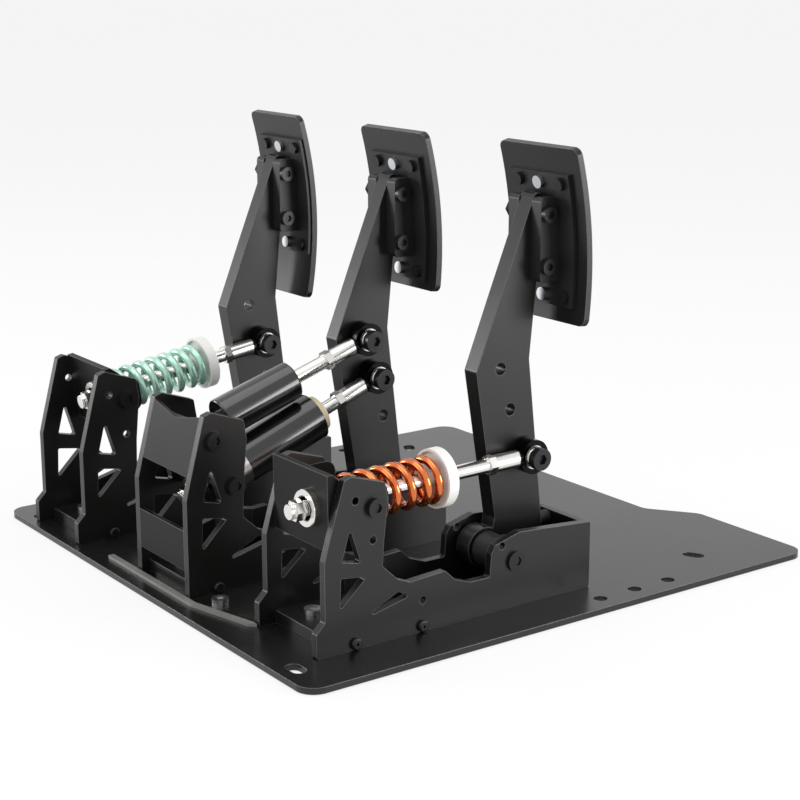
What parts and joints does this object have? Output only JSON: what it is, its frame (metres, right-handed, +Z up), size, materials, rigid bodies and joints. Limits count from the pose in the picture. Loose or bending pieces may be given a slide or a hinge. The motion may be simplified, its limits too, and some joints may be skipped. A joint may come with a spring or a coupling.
{
  "type": "sim racing pedal set",
  "caption": "Floor-standing sim racing pedal set: clutch, brake and throttle arms on a steel base plate, with coil-spring struts and an elastomer and damper strut on the brake.",
  "frame": {"origin": "centre of the base plate's underside", "axes": "+X to the driver's right, +Y away from the driver, +Z up"},
  "size_m": [0.4, 0.4, 0.284],
  "materials": {
    "black_anodised": "black anodised",
    "black_plastic": "fine texture",
    "black_rubber": "matt",
    "black_screw": "black oxide",
    "bronze": "sintered",
    "cream_elastomer": "matt",
    "damper_black": "gloss black",
    "green_coat": "gloss mint green powder coat",
    "orange_coat": "gloss orange powder coat",
    "powder_coat": "satin black powder coat",
    "white_acetal": "smooth",
    "zinc_steel": "bright zinc plated"
  },
  "bodies": {
    "frame": {"base_plate": "powder_coat", "frame_screws": "zinc_steel", "rear_tie_strip": "powder_coat", "stop_bars": "powder_coat", "rest_bumpers": "black_rubber", "pivot_bolts": "black_screw", "pivot_spacers": "black_anodised", "tower_bolts": "black_screw", "position_sensors": "black_plastic", "brake_rear_panel": "powder_coat", "brake_chevron_plate": "powder_coat", "clutch_left_plate": "powder_coat", "clutch_right_plate": "powder_coat", "clutch_floor_plate": "powder_coat", "brake_left_plate": "powder_coat", "brake_right_plate": "powder_coat", "brake_floor_plate": "powder_coat", "throttle_left_plate": "powder_coat", "throttle_right_plate": "powder_coat", "throttle_floor_plate": "powder_coat"},
    "clutch_pedal": {"clutch_arm": "powder_coat", "clutch_pivot_bushes": "bronze", "clutch_pad": "powder_coat", "clutch_pad_bracket": "black_anodised", "clutch_pad_fixings": "zinc_steel", "clutch_strut_bolt": "black_screw", "clutch_sensor_magnet": "black_plastic"},
    "brake_pedal": {"brake_arm": "powder_coat", "brake_pivot_bushes": "bronze", "brake_pad": "powder_coat", "brake_pad_bracket": "black_anodised", "brake_pad_fixings": "zinc_steel", "brake_strut_bolt": "black_screw"},
    "throttle_pedal": {"throttle_arm": "powder_coat", "throttle_pivot_bushes": "bronze", "throttle_pad": "powder_coat", "throttle_pad_bracket": "black_anodised", "throttle_pad_fixings": "zinc_steel", "throttle_strut_bolt": "black_screw", "throttle_sensor_magnet": "black_plastic"},
    "clutch_rod": {"clutch_rod_end": "zinc_steel", "clutch_rod": "zinc_steel", "clutch_spring_cup": "white_acetal", "clutch_spring": "orange_coat"},
    "clutch_yoke": {"clutch_yoke": "powder_coat"},
    "throttle_rod": {"throttle_rod_end": "zinc_steel", "throttle_rod": "zinc_steel", "throttle_spring_cup": "white_acetal", "throttle_spring": "green_coat"},
    "throttle_yoke": {"throttle_yoke": "powder_coat"},
    "brake_plunger": {"brake_plunger_rod_end": "zinc_steel", "brake_plunger": "zinc_steel"},
    "brake_trunnion": {"brake_trunnion_block": "black_anodised", "brake_load_cell": "zinc_steel", "brake_elastomer_tube": "damper_black", "brake_elastomers": "cream_elastomer", "brake_elastomer_washers": "zinc_steel"},
    "brake_damper_rod": {"brake_damper_rod_end": "zinc_steel", "brake_damper_rod": "zinc_steel"},
    "brake_damper_body": {"brake_damper_body": "damper_black"}
  },
  "joints": [
    {"name": "clutch_pedal_press", "type": "hinge", "parent": "frame", "child": "clutch_pedal", "pos_m": [-0.132, 0.026, 0.034], "axis": [-1, 0, 0], "range_deg": [0, 16], "stiffness_Nm_per_rad": 40, "springref_deg": -5.73, "deforming": ["clutch_spring"]},
    {"name": "clutch_rod_turn", "type": "hinge", "parent": "clutch_pedal", "child": "clutch_rod", "pos_m": [-0.1425, -0.004, 0.0905], "axis": [-1, 0, 0], "range_deg": [-13.1, 0]},
    {"name": "clutch_yoke_swivel", "type": "hinge", "parent": "frame", "child": "clutch_yoke", "pos_m": [-0.132, 0.131, 0.088], "axis": [-1, 0, 0], "range_deg": [0, 3.5]},
    {"name": "brake_pedal_press", "type": "hinge", "parent": "frame", "child": "brake_pedal", "pos_m": [-0.005, 0.044, 0.034], "axis": [-1, 0, 0], "range_deg": [0, 9], "stiffness_Nm_per_rad": 400, "springref_deg": -0.57, "deforming": ["brake_elastomers"]},
    {"name": "brake_plunger_turn", "type": "hinge", "parent": "brake_pedal", "child": "brake_plunger", "pos_m": [-0.0155, 0.025, 0.1205], "axis": [-1, 0, 0], "range_deg": [-6.09, 0]},
    {"name": "brake_trunnion_swivel", "type": "hinge", "parent": "frame", "child": "brake_trunnion", "pos_m": [-0.005, 0.149, 0.0725], "axis": [-1, 0, 0], "range_deg": [0, 3.51]},
    {"name": "brake_damper_rod_turn", "type": "hinge", "parent": "brake_pedal", "child": "brake_damper_rod", "pos_m": [-0.0155, 0.033, 0.1475], "axis": [-1, 0, 0], "range_deg": [-6.43, 0]},
    {"name": "brake_damper_body_swivel", "type": "hinge", "parent": "frame", "child": "brake_damper_body", "pos_m": [-0.005, 0.1634, 0.104], "axis": [-1, 0, 0], "range_deg": [0, 3.17]},
    {"name": "throttle_pedal_press", "type": "hinge", "parent": "frame", "child": "throttle_pedal", "pos_m": [0.131, 0.048, 0.034], "axis": [-1, 0, 0], "range_deg": [0, 16], "stiffness_Nm_per_rad": 20, "springref_deg": -5.73, "deforming": ["throttle_spring"]},
    {"name": "throttle_rod_turn", "type": "hinge", "parent": "throttle_pedal", "child": "throttle_rod", "pos_m": [0.1205, 0.029, 0.1205], "axis": [-1, 0, 0], "range_deg": [-12.91, 0]},
    {"name": "throttle_yoke_swivel", "type": "hinge", "parent": "frame", "child": "throttle_yoke", "pos_m": [0.131, 0.153, 0.101], "axis": [-1, 0, 0], "range_deg": [0, 3.69]}
  ],
  "couplings": [
    {"joint": "clutch_rod_turn", "follows": "clutch_pedal_press", "ratio": -0.8},
    {"joint": "clutch_yoke_swivel", "follows": "clutch_pedal_press", "ratio": 0.2},
    {"joint": "brake_plunger_turn", "follows": "brake_pedal_press", "ratio": -0.643},
    {"joint": "brake_trunnion_swivel", "follows": "brake_pedal_press", "ratio": 0.357},
    {"joint": "brake_damper_rod_turn", "follows": "brake_pedal_press", "ratio": -0.681},
    {"joint": "brake_damper_body_swivel", "follows": "brake_pedal_press", "ratio": 0.319},
    {"joint": "throttle_rod_turn", "follows": "throttle_pedal_press", "ratio": -0.788},
    {"joint": "throttle_yoke_swivel", "follows": "throttle_pedal_press", "ratio": 0.212}
  ]
}
